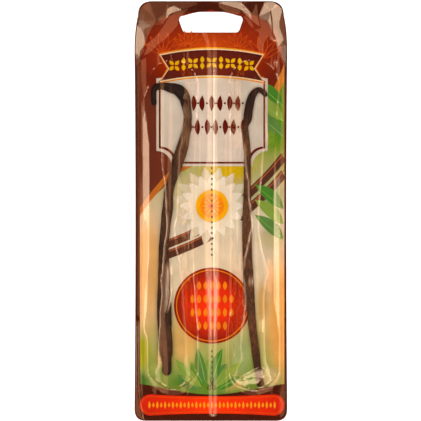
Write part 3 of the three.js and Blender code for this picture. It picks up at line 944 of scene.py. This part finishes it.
def ray(centre, near, far, degrees, width, bow=0.0):
    """A leaf that points away from a centre."""
    c, s = math.cos(math.radians(degrees)), math.sin(math.radians(degrees))
    x, y = centre
    return leaf((x + near * c, y + near * s), (x + far * c, y + far * s), width, bow)


def lay_row(sheet, ink, layer, centre, count, step, reaches, width):
    """A row of upright leaves about a centre, whose reaches up and down take turns."""
    for i in range(count):
        x, reach = centre[0] + (i - (count - 1) / 2) * step, reaches[i % len(reaches)]
        sheet.lay(ink, layer, leaf((x, centre[1] - reach), (x, centre[1] + reach), width))


def within_field(points):
    return [(min(FIELD_RIGHT, max(FIELD_LEFT, x)), y) for x, y in points]


class InkSheet:
    """One printed piece: flat shapes laid on the sheet, each with its own ink and layer."""

    def __init__(self):
        self.bm = bmesh.new()
        self.inks = []

    def lay(self, ink, layer, *loops):
        """Fills the first loop, less those inside it."""
        if ink not in self.inks:
            self.inks.append(ink)
        edges = []
        for loop in loops:
            verts = [self.bm.verts.new((x, y, SHEET_TOP + layer * INK_STEP)) for x, y in loop]
            edges += [self.bm.edges.new((verts[i - 1], verts[i])) for i in range(len(verts))]
        made = bmesh.ops.triangle_fill(self.bm, use_beauty=True, edges=edges, normal=(0, 0, 1))
        for face in made["geom"]:
            if isinstance(face, bmesh.types.BMFace):
                face.material_index = self.inks.index(ink)
                if face.normal.z < 0:
                    face.normal_flip()


def make_ink_grain():
    """Fine uneven tone of the press, for every ink."""
    group = bpy.data.node_groups.new("ink grain", "ShaderNodeTree")
    group.interface.new_socket("Color", in_out="INPUT", socket_type="NodeSocketColor")
    group.interface.new_socket("Color", in_out="OUTPUT", socket_type="NodeSocketColor")
    group.interface.new_socket("Roughness", in_out="OUTPUT", socket_type="NodeSocketFloat")
    cloud = noise_map(group, object_place(group), *GRAIN_NOISE)
    ink = group.nodes.new("NodeGroupInput").outputs[0]
    leave = group.nodes.new("NodeGroupOutput")
    toned = mix_colours(group, GRAIN_SHARE, ink, colour_ramp(group, cloud, GRAIN_STOPS), "MULTIPLY")
    for socket, value in zip(leave.inputs, (toned, spread(group, cloud, *INK_ROUGHNESS))):
        group.links.new(value, socket)
    return group


INK_GRAIN = make_ink_grain()


def inked(name, ink):
    """A satin ink of one colour, or of the colours that a function of its node tree gives."""
    material, tree, shader = new_material(name, Specular_IOR_Level=INK_SPECULAR)
    colour = ink(tree) if callable(ink) else linear(ink)
    wash = add_node(tree, "Group", {0: colour}, node_tree=INK_GRAIN)
    for output, socket in zip(wash.outputs, ("Base Color", "Roughness")):
        tree.links.new(output, shader.inputs[socket])
    return material


def graded(stops, centre, reach, turn=0.0, kind="LINEAR"):
    """Ink that changes along a line."""
    def colour_of(tree):
        return colour_ramp(tree, gradient(tree, object_place(tree, centre, reach, turn), kind), stops)
    return colour_of


def radial(stops, centre, reach):
    """Ink that changes from the reach, at 0, in to the centre, at 1."""
    return graded(stops, centre, reach, kind="SPHERICAL")


ACROSS = ((-38, 0), (76, 1))  # where ink that is graded across the pack starts, and its reach

# The ground below the arch: colours down the pack, then soft spots laid over them
GROUND_LOW_Y = -97
GROUND_HIGH_Y = 78
GROUND_STOPS = [
    (0.00, (98, 136, 40)), (0.10, (150, 166, 78)), (0.20, (204, 184, 114)), (0.32, (232, 210, 172)),
    (0.50, (226, 208, 180)), (0.62, (202, 188, 138)), (0.75, (140, 158, 44)), (1.00, (94, 136, 26)),
]
GROUND_SPOTS = [  # centre, reach, turn, colour, strength
    ((9, 22), (27, 17), 20, (210, 176, 0), 1.0),
    ((-33, -30), (17, 58), 0, (234, 180, 110), 1.0),
    ((37, -56), (15, 64), 0, (240, 174, 88), 1.0),
    ((27, -48), (6, 22), 0, (204, 156, 76), 0.8),
    ((32, -14), (14, 13), 0, (188, 174, 116), 0.75),
    ((34, 44), (14, 24), 0, (82, 138, 22), 0.9),
    ((30, 8), (14, 12), 0, (108, 146, 68), 0.7),
    ((-36, -74), (9, 17), 0, (166, 166, 10), 0.95),
    ((-14, -68), (13, 24), 0, (226, 178, 100), 0.95),
    ((-26, -76), (6, 12), 0, (190, 156, 64), 0.8),
    ((-12, -90), (17, 8), 0, (88, 134, 34), 0.9),
    ((-3, -90), (11, 11), 0, (100, 138, 36), 0.85),
    ((11, -90), (11, 9), 0, (184, 168, 84), 0.85),
    ((15, -74), (9, 22), 0, (156, 174, 112), 0.85),
    ((31, -87), (10, 9), 0, (214, 194, 132), 0.9),
    ((-37, -89), (7, 8), 0, (44, 108, 36), 0.85),
]
SPOT_EDGE = 0.55  # how far in a spot has its full strength


def painted_ground(tree):
    colour = graded(GROUND_STOPS, (0, GROUND_LOW_Y), (GROUND_HIGH_Y - GROUND_LOW_Y, 1), 90)(tree)
    for centre, reach, turn, spot_colour, strength in GROUND_SPOTS:
        spot = gradient(tree, object_place(tree, centre, reach, turn), "QUADRATIC_SPHERE")
        inputs = {"Value": spot, "From Max": SPOT_EDGE, "To Max": strength}
        share = add_node(tree, "MapRange", inputs, interpolation_type="SMOOTHSTEP")
        colour = mix_colours(tree, share.outputs["Result"], colour, linear(spot_colour))
    return colour


BAND_STOPS = [(0, (196, 106, 30)), (1, (206, 126, 38))]
HEADER_STOPS = [(0.0, (112, 46, 26)), (0.3, (114, 26, 2)), (0.62, (160, 42, 0)), (1.0, (212, 80, 0))]


def lay_grounds(sheet):
    """The three large fields: soft ground, sweeping band and the arch over the header."""
    sweep = within_field(curve_points(SWEEP))
    band_foot = within_field(curve_points(lowered(SWEEP, SWEEP_BAND_DROP)))
    arch = [(x, y) for x, y in arch_points() if x < 0 or y > SWEEP[-1][1]]
    sheet.lay(inked("ink ground", painted_ground), 1, within_field(curve_points(FIELD_FOOT)) + FIELD_TOP)
    sheet.lay(inked("ink sweeping band", graded(BAND_STOPS, *ACROSS)), 2, band_foot + sweep[::-1])
    sheet.lay(inked("ink header", radial(HEADER_STOPS, (0, 84), (60, 32))), 3, sweep + arch, HOLE_MARGIN)


HEADER_FANS = [(-25, 82, 12), (-12, 86, 9), (14, 85, 9), (27, 80, 12)]  # [x, y, reach]
HEADER_FAN_TURNS = range(30, 151, 24)
FAN_LOOP_WIDTH = 0.22  # share of its reach


def lay_header_lines(sheet):
    """Faint fans of narrow loops drawn in fine line."""
    line = inked("ink header line", (216, 82, 4))
    for x, y, reach in HEADER_FANS:
        width = reach * FAN_LOOP_WIDTH
        for turn in HEADER_FAN_TURNS:
            inner = ray((x, y), 0.7, reach - 0.9, turn, width - 0.5)
            sheet.lay(line, 4, ray((x, y), 0, reach, turn, width), inner)


STRIPE_ROUTE = [(-23, -17.5), (-11, -12.5), (0, -7), (12, 1.5), (22, 11), (31, 20), (38.6, 29)]
STRIPE_DROPS = [[0] * 7, [5.6, 5.8, 6, 7, 8, 8.6, 9]]
STRIPE_WIDTH = 4.4
STRIPE_EDGE_RISE = 1.6
STRIPE_EDGE_WIDTH = 0.5


def lay_stripes(sheet):
    """Two brown stripes that sweep up to the right side, each with a thin bright edge."""
    brown = inked("ink stripe", graded([(0, (96, 52, 34)), (1, (84, 44, 32))], *ACROSS))
    edge = inked("ink stripe edge", (196, 96, 48))
    for drop in STRIPE_DROPS:
        knots = lowered(STRIPE_ROUTE, drop)
        edge_knots = moved(knots, (0, STRIPE_EDGE_RISE))
        sheet.lay(brown, 2, within_field(strip(knots, [STRIPE_WIDTH] * 2)))
        sheet.lay(edge, 3, within_field(strip(edge_knots, [STRIPE_EDGE_WIDTH] * 2)))


FERN_TIPS = [68, 60, 52, 14, 6, -2]  # height of each leaf's tip up the field's right side
FERN_REACH = (15.5, 13.0)
FAN_CENTRE = (-1.4, -96)
FAN_REACHES = (19, 25)
FERN_LEAF = (6.4, -1)  # width and sideways bow
FAN_LEAF = (5.6, 0.8)
FAN_TURNS = range(28, 153, 15)
LEAF_GREENS = [((10, 92, 26), (72, 134, 40)), ((76, 130, 32), (136, 162, 62)), ((36, 94, 40), (92, 136, 62))]


def lay_leaves(sheet):
    """Plain pointed leaves: a row up the right side and a fan at the foot."""
    inks = [
        inked(f"ink leaf {index}", graded([(0, dark), (1, light)], (-38, -90), (24, 1), 35))
        for index, (dark, light) in enumerate(LEAF_GREENS)
    ]
    vein = inked("ink leaf vein", (150, 196, 80))
    for index, y in enumerate(FERN_TIPS):
        base, tip = (FIELD_RIGHT - 0.4, y - FERN_REACH[1]), (FIELD_RIGHT - FERN_REACH[0], y)
        sheet.lay(inks[index % 3], 4 + index % 2, leaf(base, tip, *FERN_LEAF))
        sheet.lay(vein, 6, strip([base, tip], [0.35, 0.08]))
    for index, turn in enumerate(FAN_TURNS):
        reach = FAN_REACHES[index % 2]
        sheet.lay(inks[index % 3], 4 + index % 2, ray(FAN_CENTRE, 5, reach, turn, *FAN_LEAF))
        sheet.lay(vein, 6, ray(FAN_CENTRE, 5.5, reach - 1, turn, 0.4))


ROSETTE_CENTRE = (0.6, 2.6)
ROSETTE_RAYS = 16
ROSETTE_RAY_FOOT = 5.0
ROSETTE_RINGS = [  # layer, first angle, outer reach, width, colours at the tip and at the foot
    (5, 11.25, 21.0, 6.2, (220, 206, 176), (196, 182, 126)),
    (7, 0.0, 17.0, 5.2, (240, 228, 206), (214, 196, 150)),
]
CORE_STOPS = [(0.1, (246, 150, 0)), (0.7, (240, 104, 20))]
CORE_YELLOW = (8.6, 8.6)
CORE_ORANGE = (6.4, 6.4)
CORE_RAYS = 12
CORE_RAY = (1.4, 5.4)  # nearest and farthest from the centre


def lay_rosette(sheet):
    """A sun of pale rays round a yellow and orange core."""
    for layer, first, far, width, tip, foot in ROSETTE_RINGS:
        pale = inked(f"ink rays {layer}", radial([(0.2, tip), (0.8, foot)], ROSETTE_CENTRE, (far, far)))
        for i in range(ROSETTE_RAYS):
            turn = first + 360 / ROSETTE_RAYS * i
            sheet.lay(pale, layer + i % 2, ray(ROSETTE_CENTRE, ROSETTE_RAY_FOOT, far, turn, width))
    yellow = inked("ink core yellow", (242, 174, 0))
    orange = inked("ink core orange", radial(CORE_STOPS, ROSETTE_CENTRE, (7, 7)))
    sheet.lay(yellow, 9, oval(ROSETTE_CENTRE, CORE_YELLOW))
    sheet.lay(orange, 10, oval(ROSETTE_CENTRE, CORE_ORANGE))
    for i in range(CORE_RAYS):
        sheet.lay(yellow, 11, ray(ROSETTE_CENTRE, *CORE_RAY, 360 / CORE_RAYS * i, 1.1))


PANEL_CENTRE = (0.6, 50.5)
PANEL_REACH = (29.2, 27.0)
PANEL_BITE = 8.0
PANEL_BITE_STEPS = 10
PANEL_STOPS = [(0, (206, 190, 166)), (0.5, (220, 206, 190)), (1, (210, 194, 174))]
PANEL_ROWS = [(56.5, 6), (44.0, 7)]  # height of each row of drops and how many it has
PANEL_EDGES = (0.0, 1.3, 2.3)  # how far in each field of its double edge begins
DROP_STEP = 4.7
DROP_REACH = 4.2
DROP_WIDTH = 2.9
DROP_BOW = 0.3
DROPS_MIDDLE_X = 2.6
DOT_BESIDE = (0.6, 0.6)  # reach of the dot beside each drop


def panel_outline(shrink):
    """A rectangle whose corners are bitten off by quarter rounds."""
    half_x, half_y = PANEL_REACH[0] - shrink, PANEL_REACH[1] - shrink
    turns = [math.pi / 2 * i / PANEL_BITE_STEPS for i in range(PANEL_BITE_STEPS + 1)]
    bite = [(half_x - PANEL_BITE * math.sin(turn), half_y - PANEL_BITE * math.cos(turn)) for turn in turns]
    points = []
    for sign_x, sign_y in ((1, 1), (-1, 1), (-1, -1), (1, -1)):
        points += [(sign_x * x, sign_y * y) for x, y in (bite if sign_x == sign_y else reversed(bite))]
    return moved(points, PANEL_CENTRE)


def lay_panel(sheet):
    """The cream panel with its double edge, and two rows of drops across it."""
    cream = inked("ink cream", graded(PANEL_STOPS, (-36, 30), (70, 1), 20))
    line = inked("ink dark red", (98, 10, 0))
    for layer, ink, shrink in zip((6, 7, 8), (cream, line, cream), PANEL_EDGES):
        sheet.lay(ink, layer, panel_outline(shrink))
    for row_y, count in PANEL_ROWS:
        for i in range(count):
            x = DROPS_MIDDLE_X + (i - (count - 1) / 2) * DROP_STEP
            lean = DROP_REACH if i % 2 else -DROP_REACH
            sheet.lay(line, 9, leaf((x, row_y - lean), (x, row_y + lean), DROP_WIDTH, DROP_BOW))
            sheet.lay(line, 9, oval((x + DROP_STEP / 2, row_y), DOT_BESIDE, 12))


RIBBON_CENTRE = (0.4, 74.6)
RIBBON_HALF_LENGTH = 28.0
RIBBON_HALF_HEIGHT = 8.0
RIBBON_BOW = 3.2
RIBBON_NOTCH = 4.5
RIBBON_EDGES = (0.0, 0.7, 1.3)
GOLD_STOPS = [(0, (222, 112, 0)), (0.5, (238, 182, 12)), (1, (232, 120, 4))]
RIBBON_STOPS = [(0, (78, 14, 4)), (0.6, (108, 28, 12)), (1, (120, 42, 22))]
ORNAMENT_STEP = 4.9
ORNAMENT_OVAL = (0, 3.4)  # nearest and farthest from its middle
ORNAMENT_CROSS = (0.5, 3.6)


def ribbon_rise(x):
    return RIBBON_BOW * (1 - (x / RIBBON_HALF_LENGTH) ** 2)


def ribbon_outline(shrink):
    """A bar bowed upwards in its middle, with a notch in each end."""
    half_length, half_height = RIBBON_HALF_LENGTH - shrink, RIBBON_HALF_HEIGHT - shrink
    across = [half_length * (1 - i / EDGE_STEPS) for i in range(2 * EDGE_STEPS + 1)]
    top = [(x, half_height + ribbon_rise(x)) for x in across]
    foot = [(x, ribbon_rise(x) - half_height) for x in reversed(across)]
    notch = half_length - RIBBON_NOTCH
    return moved(top + [(-notch, 0)] + foot + [(notch, 0)], RIBBON_CENTRE)


def lay_ribbon(sheet):
    """A brown bowed ribbon with a gold and cream edge and a row of yellow ornaments."""
    gold = inked("ink gold", graded(GOLD_STOPS, (-28, 75), (56, 1)))
    cream = inked("ink rim", (240, 212, 170))
    brown = inked("ink ribbon", radial(RIBBON_STOPS, RIBBON_CENTRE, (30, 14)))
    yellow = inked("ink ornament", (236, 184, 0))
    for layer, ink, shrink in zip((9, 10, 11), (gold, cream, brown), RIBBON_EDGES):
        sheet.lay(ink, layer, ribbon_outline(shrink))
    for i in range(-4, 5):
        aside = ORNAMENT_STEP * i
        centre = (RIBBON_CENTRE[0] + aside, RIBBON_CENTRE[1] + ribbon_rise(aside))
        if i % 2:
            sheet.lay(yellow, 12, ray(centre, *ORNAMENT_OVAL, 90, 2.2), ray(centre, *ORNAMENT_OVAL, 270, 2.2))
        else:
            for turn in range(45, 360, 90):
                sheet.lay(yellow, 12, ray(centre, *ORNAMENT_CROSS, turn, 1.9))


ROUNDEL_CENTRE = (0.6, -49.6)
ROUNDEL_REACH = (20.0, 20.0)
ROUNDEL_LINE = ((18.9, 18.9), (18.4, 18.4))
ROUNDEL_SIDES = 96
ROUNDEL_ROWS = [(10.5, 5), (3.5, 7), (-3.5, 7), (-10.5, 5)]  # height over the centre and how many ovals
ROUNDEL_STEP = 3.4
ROUNDEL_OVAL = ([2.3], 2.2)  # reaches up and down, and width
ROUNDEL_STOPS = [(0, (122, 20, 2)), (0.28, (178, 32, 4)), (0.62, (236, 46, 0)), (1, (248, 52, 0))]


def lay_roundel(sheet):
    """A red disc with a thin orange line inside its edge and four rows of pointed ovals."""
    red = inked("ink roundel", radial(ROUNDEL_STOPS, ROUNDEL_CENTRE, (22, 22)))
    orange = inked("ink thin orange", (238, 134, 10))
    sheet.lay(red, 6, oval(ROUNDEL_CENTRE, ROUNDEL_REACH, ROUNDEL_SIDES))
    sheet.lay(orange, 7, *(oval(ROUNDEL_CENTRE, reach, ROUNDEL_SIDES) for reach in ROUNDEL_LINE))
    for height, count in ROUNDEL_ROWS:
        centre = (ROUNDEL_CENTRE[0], ROUNDEL_CENTRE[1] + height)
        lay_row(sheet, orange, 7, centre, count, ROUNDEL_STEP, *ROUNDEL_OVAL)


BANNER_HALF = 38.0
BANNER_CENTRE = (0.6, -101.7)
BANNER_HALF_ENDS = 5.6
BANNER_HALF_WAIST = 4.5
CAP_STEPS = 16
BANNER_OVALS = 33
BANNER_STEP = 2.05
BANNER_OVAL = ([1.9, 1.3], 1.25)  # reaches up and down in turn, and width
BANNER_STOPS = [(0, (214, 30, 0)), (0.5, (255, 56, 0)), (1, (218, 32, 0))]


def banner_outline(shrink):
    """A bar with round ends, a little slimmer in its middle."""
    half = BANNER_HALF_ENDS - shrink
    straight = BANNER_HALF - BANNER_HALF_ENDS
    edge = []
    for i in range(2 * EDGE_STEPS + 1):
        x = straight * (1 - i / EDGE_STEPS)
        edge.append((x, half - (BANNER_HALF_ENDS - BANNER_HALF_WAIST) * (1 - (x / straight) ** 2)))
    turns = [math.pi * (k / CAP_STEPS - 0.5) for k in range(1, CAP_STEPS)]
    cap = [(straight + half * math.cos(turn), half * math.sin(turn)) for turn in turns]
    return moved(edge + [(-x, -y) for x, y in cap + edge] + cap, BANNER_CENTRE)


def lay_banner(sheet):
    """A red bar with a thin line inside its edge and a row of pointed ovals."""
    red = inked("ink banner", graded(BANNER_STOPS, (-BANNER_HALF, 0), (2 * BANNER_HALF, 1)))
    orange = inked("ink banner line", (228, 84, 0))
    yellow = inked("ink banner ornament", (248, 160, 14))
    sheet.lay(red, 2, banner_outline(0.0))
    sheet.lay(orange, 3, banner_outline(0.9), banner_outline(1.2))
    lay_row(sheet, yellow, 3, BANNER_CENTRE, BANNER_OVALS, BANNER_STEP, *BANNER_OVAL)


CUT_X = 0.45
DOT_STEP = 2.84
DOT_REACH = (0.48, 0.66)
DOT_RUNS = [(22.5, -23.5), (-73.5, -88.0)]
SCISSORS_Y = -91.0
HANDLE_PLACE = (1.25, -1.6)
HANDLE_REACHES = ((1.05, 1.25), (0.6, 0.8))  # outside and inside
BLADE_ROUTE = [(0.7, -0.6), (-0.2, 1), (-1.1, 3.6)]
BLADE_WIDTHS = [0.5, 0.9, 0.2]


def lay_cut_line(sheet):
    """The dotted tear line and a small plain pair of scissors at its foot."""
    dark = inked("ink cut line", (44, 6, 0))
    for high, low in DOT_RUNS:
        for i in range(int((high - low) / DOT_STEP) + 1):
            sheet.lay(dark, 13, oval((CUT_X, high - i * DOT_STEP), DOT_REACH, 12))
    for side in (-1, 1):
        handle = (CUT_X + side * HANDLE_PLACE[0], SCISSORS_Y + HANDLE_PLACE[1])
        blade = moved([(side * x, y) for x, y in BLADE_ROUTE], (CUT_X, SCISSORS_Y))
        sheet.lay(dark, 13, *(oval(handle, reach, 20) for reach in HANDLE_REACHES))
        sheet.lay(dark, 13, strip(blade, BLADE_WIDTHS))


BORDER = (72, 16, 0)
BACK_PAPER = (206, 186, 160)
BACK_LIMITS = (HALF_WIDTH - 5, HALF_LENGTH - 16, SHEET_TOP / 4)  # the bare panel's half sizes and top


def border_or_back(tree):
    """Brown in front and round the edge, and a bare pale panel behind."""
    parts = add_node(tree, "SeparateXYZ", {0: object_place(tree)})
    within = [
        maths(tree, "LESS_THAN", maths(tree, "ABSOLUTE", part), limit * MM)
        for part, limit in zip(parts.outputs, BACK_LIMITS)
    ]
    share = maths(tree, "MULTIPLY", maths(tree, "MULTIPLY", *within[:2]), within[2])
    return mix_colours(tree, share, linear(BORDER), linear(BACK_PAPER))


PRINTS = {
    "print_grounds": lay_grounds,
    "print_header_lines": lay_header_lines,
    "print_stripes": lay_stripes,
    "print_leaves": lay_leaves,
    "print_rosette": lay_rosette,
    "print_panel": lay_panel,
    "print_ribbon": lay_ribbon,
    "print_roundel": lay_roundel,
    "print_banner": lay_banner,
    "print_cut_line": lay_cut_line,
}


def make_print():
    """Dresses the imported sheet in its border's ink and lays each printed piece on it."""
    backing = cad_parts["backing"]
    backing.data.materials.clear()
    backing.data.materials.append(inked("ink border", border_or_back))
    for name, lay in PRINTS.items():
        sheet = InkSheet()
        lay(sheet)
        finish_piece(sheet.bm, name, sheet.inks, smooth=False, thickness=INK_THICKNESS)


# ---- Stage ----
PALE_FLOOR = (0.93, 0.93, 0.93, 1)
FLOOR_HALF = 1.5  # metres
VIEW_SPAN = 220.8  # millimetres that the picture's side takes in
CAMERA_AIM = (-0.21, 0.26)
CAMERA_DISTANCE = 1600.0
SENSOR = 36.0
LAMP_DISTANCE = 1.2  # metres
SIDE_BOX_LENGTH = 1.4
END_BOX_LENGTH = 0.7
WHITE = (1, 1, 1)
AMBER = (1, 0.6, 0.42)
SIDE_BOXES = [  # degrees from straight above, degrees across, brightness, colour
    (7.5, 7, 0.55, AMBER), (14, 6, 0.9, WHITE), (25, 16, 2.35, WHITE), (49, 32, 0.65, WHITE),
]
END_BOXES = [(17, 8, 0.3, AMBER), (30, 18, 2.05, WHITE)]
FILL = (2.8, 70)  # watts a square metre and degrees across
WORLD_BRIGHTNESS = 0.03


def soft_box(name, box, turn, length):
    """A long lamp that faces the pack from one side, as wide and as bright as it looks from there."""
    lean, across, brightness, colour = math.radians(box[0]), math.radians(box[1]), box[2], box[3]
    lamp = bpy.data.lights.new(name, "AREA")
    lamp.color = colour
    lamp.shape = "RECTANGLE"
    lamp.size = 2 * LAMP_DISTANCE * math.tan(across / 2)
    lamp.size_y = length
    lamp.energy = brightness * math.pi * lamp.size * lamp.size_y
    aside = LAMP_DISTANCE * math.sin(lean)
    place = (aside * math.cos(turn), aside * math.sin(turn), LAMP_DISTANCE * math.cos(lean))
    put_in_scene(name, lamp, place, (0, lean, turn))


def make_stage():
    """Pale floor, lamps and a camera that looks straight down."""
    bm = bmesh.new()
    bmesh.ops.create_grid(bm, x_segments=1, y_segments=1, size=FLOOR_HALF)
    material, _, _ = new_material("pale floor", Roughness=0.9, Base_Color=PALE_FLOOR)
    floor = put_in_scene("floor", as_mesh(bm, "floor", [material]))
    floor.visible_glossy = False

    world = bpy.data.worlds.new("studio")
    world.use_nodes = True
    background = world.node_tree.nodes["Background"]
    background.inputs["Color"].default_value = (1, 1, 1, 1)
    background.inputs["Strength"].default_value = WORLD_BRIGHTNESS
    bpy.context.scene.world = world
    bpy.context.scene.view_settings.view_transform = "Standard"

    for index, (boxes, length) in enumerate(((SIDE_BOXES, SIDE_BOX_LENGTH), (END_BOXES, END_BOX_LENGTH)) * 2):
        for box in boxes:
            soft_box(f"box {index} at {box[0]}", box, math.pi / 2 * index, length)

    fill = bpy.data.lights.new("overhead fill", "SUN")
    fill.energy = FILL[0]
    fill.angle = math.radians(FILL[1])
    put_in_scene("overhead fill", fill).visible_glossy = False

    camera = bpy.data.cameras.new("camera")
    camera.sensor_width = SENSOR
    camera.lens = SENSOR * CAMERA_DISTANCE / VIEW_SPAN
    place = (CAMERA_AIM[0] * MM, CAMERA_AIM[1] * MM, CAMERA_DISTANCE * MM)
    bpy.context.scene.camera = put_in_scene("camera", camera, place)


make_stage()
make_print()
film_face = make_film(film_material())
make_pod("left_pod_skin", "pod_left", LEFT_POD, 1.3, pod_material("broad pod skin", 1.0), film_face)
make_pod("right_pod_skin", "pod_right", RIGHT_POD, 6.8, pod_material("slim pod skin", 1.26), film_face)
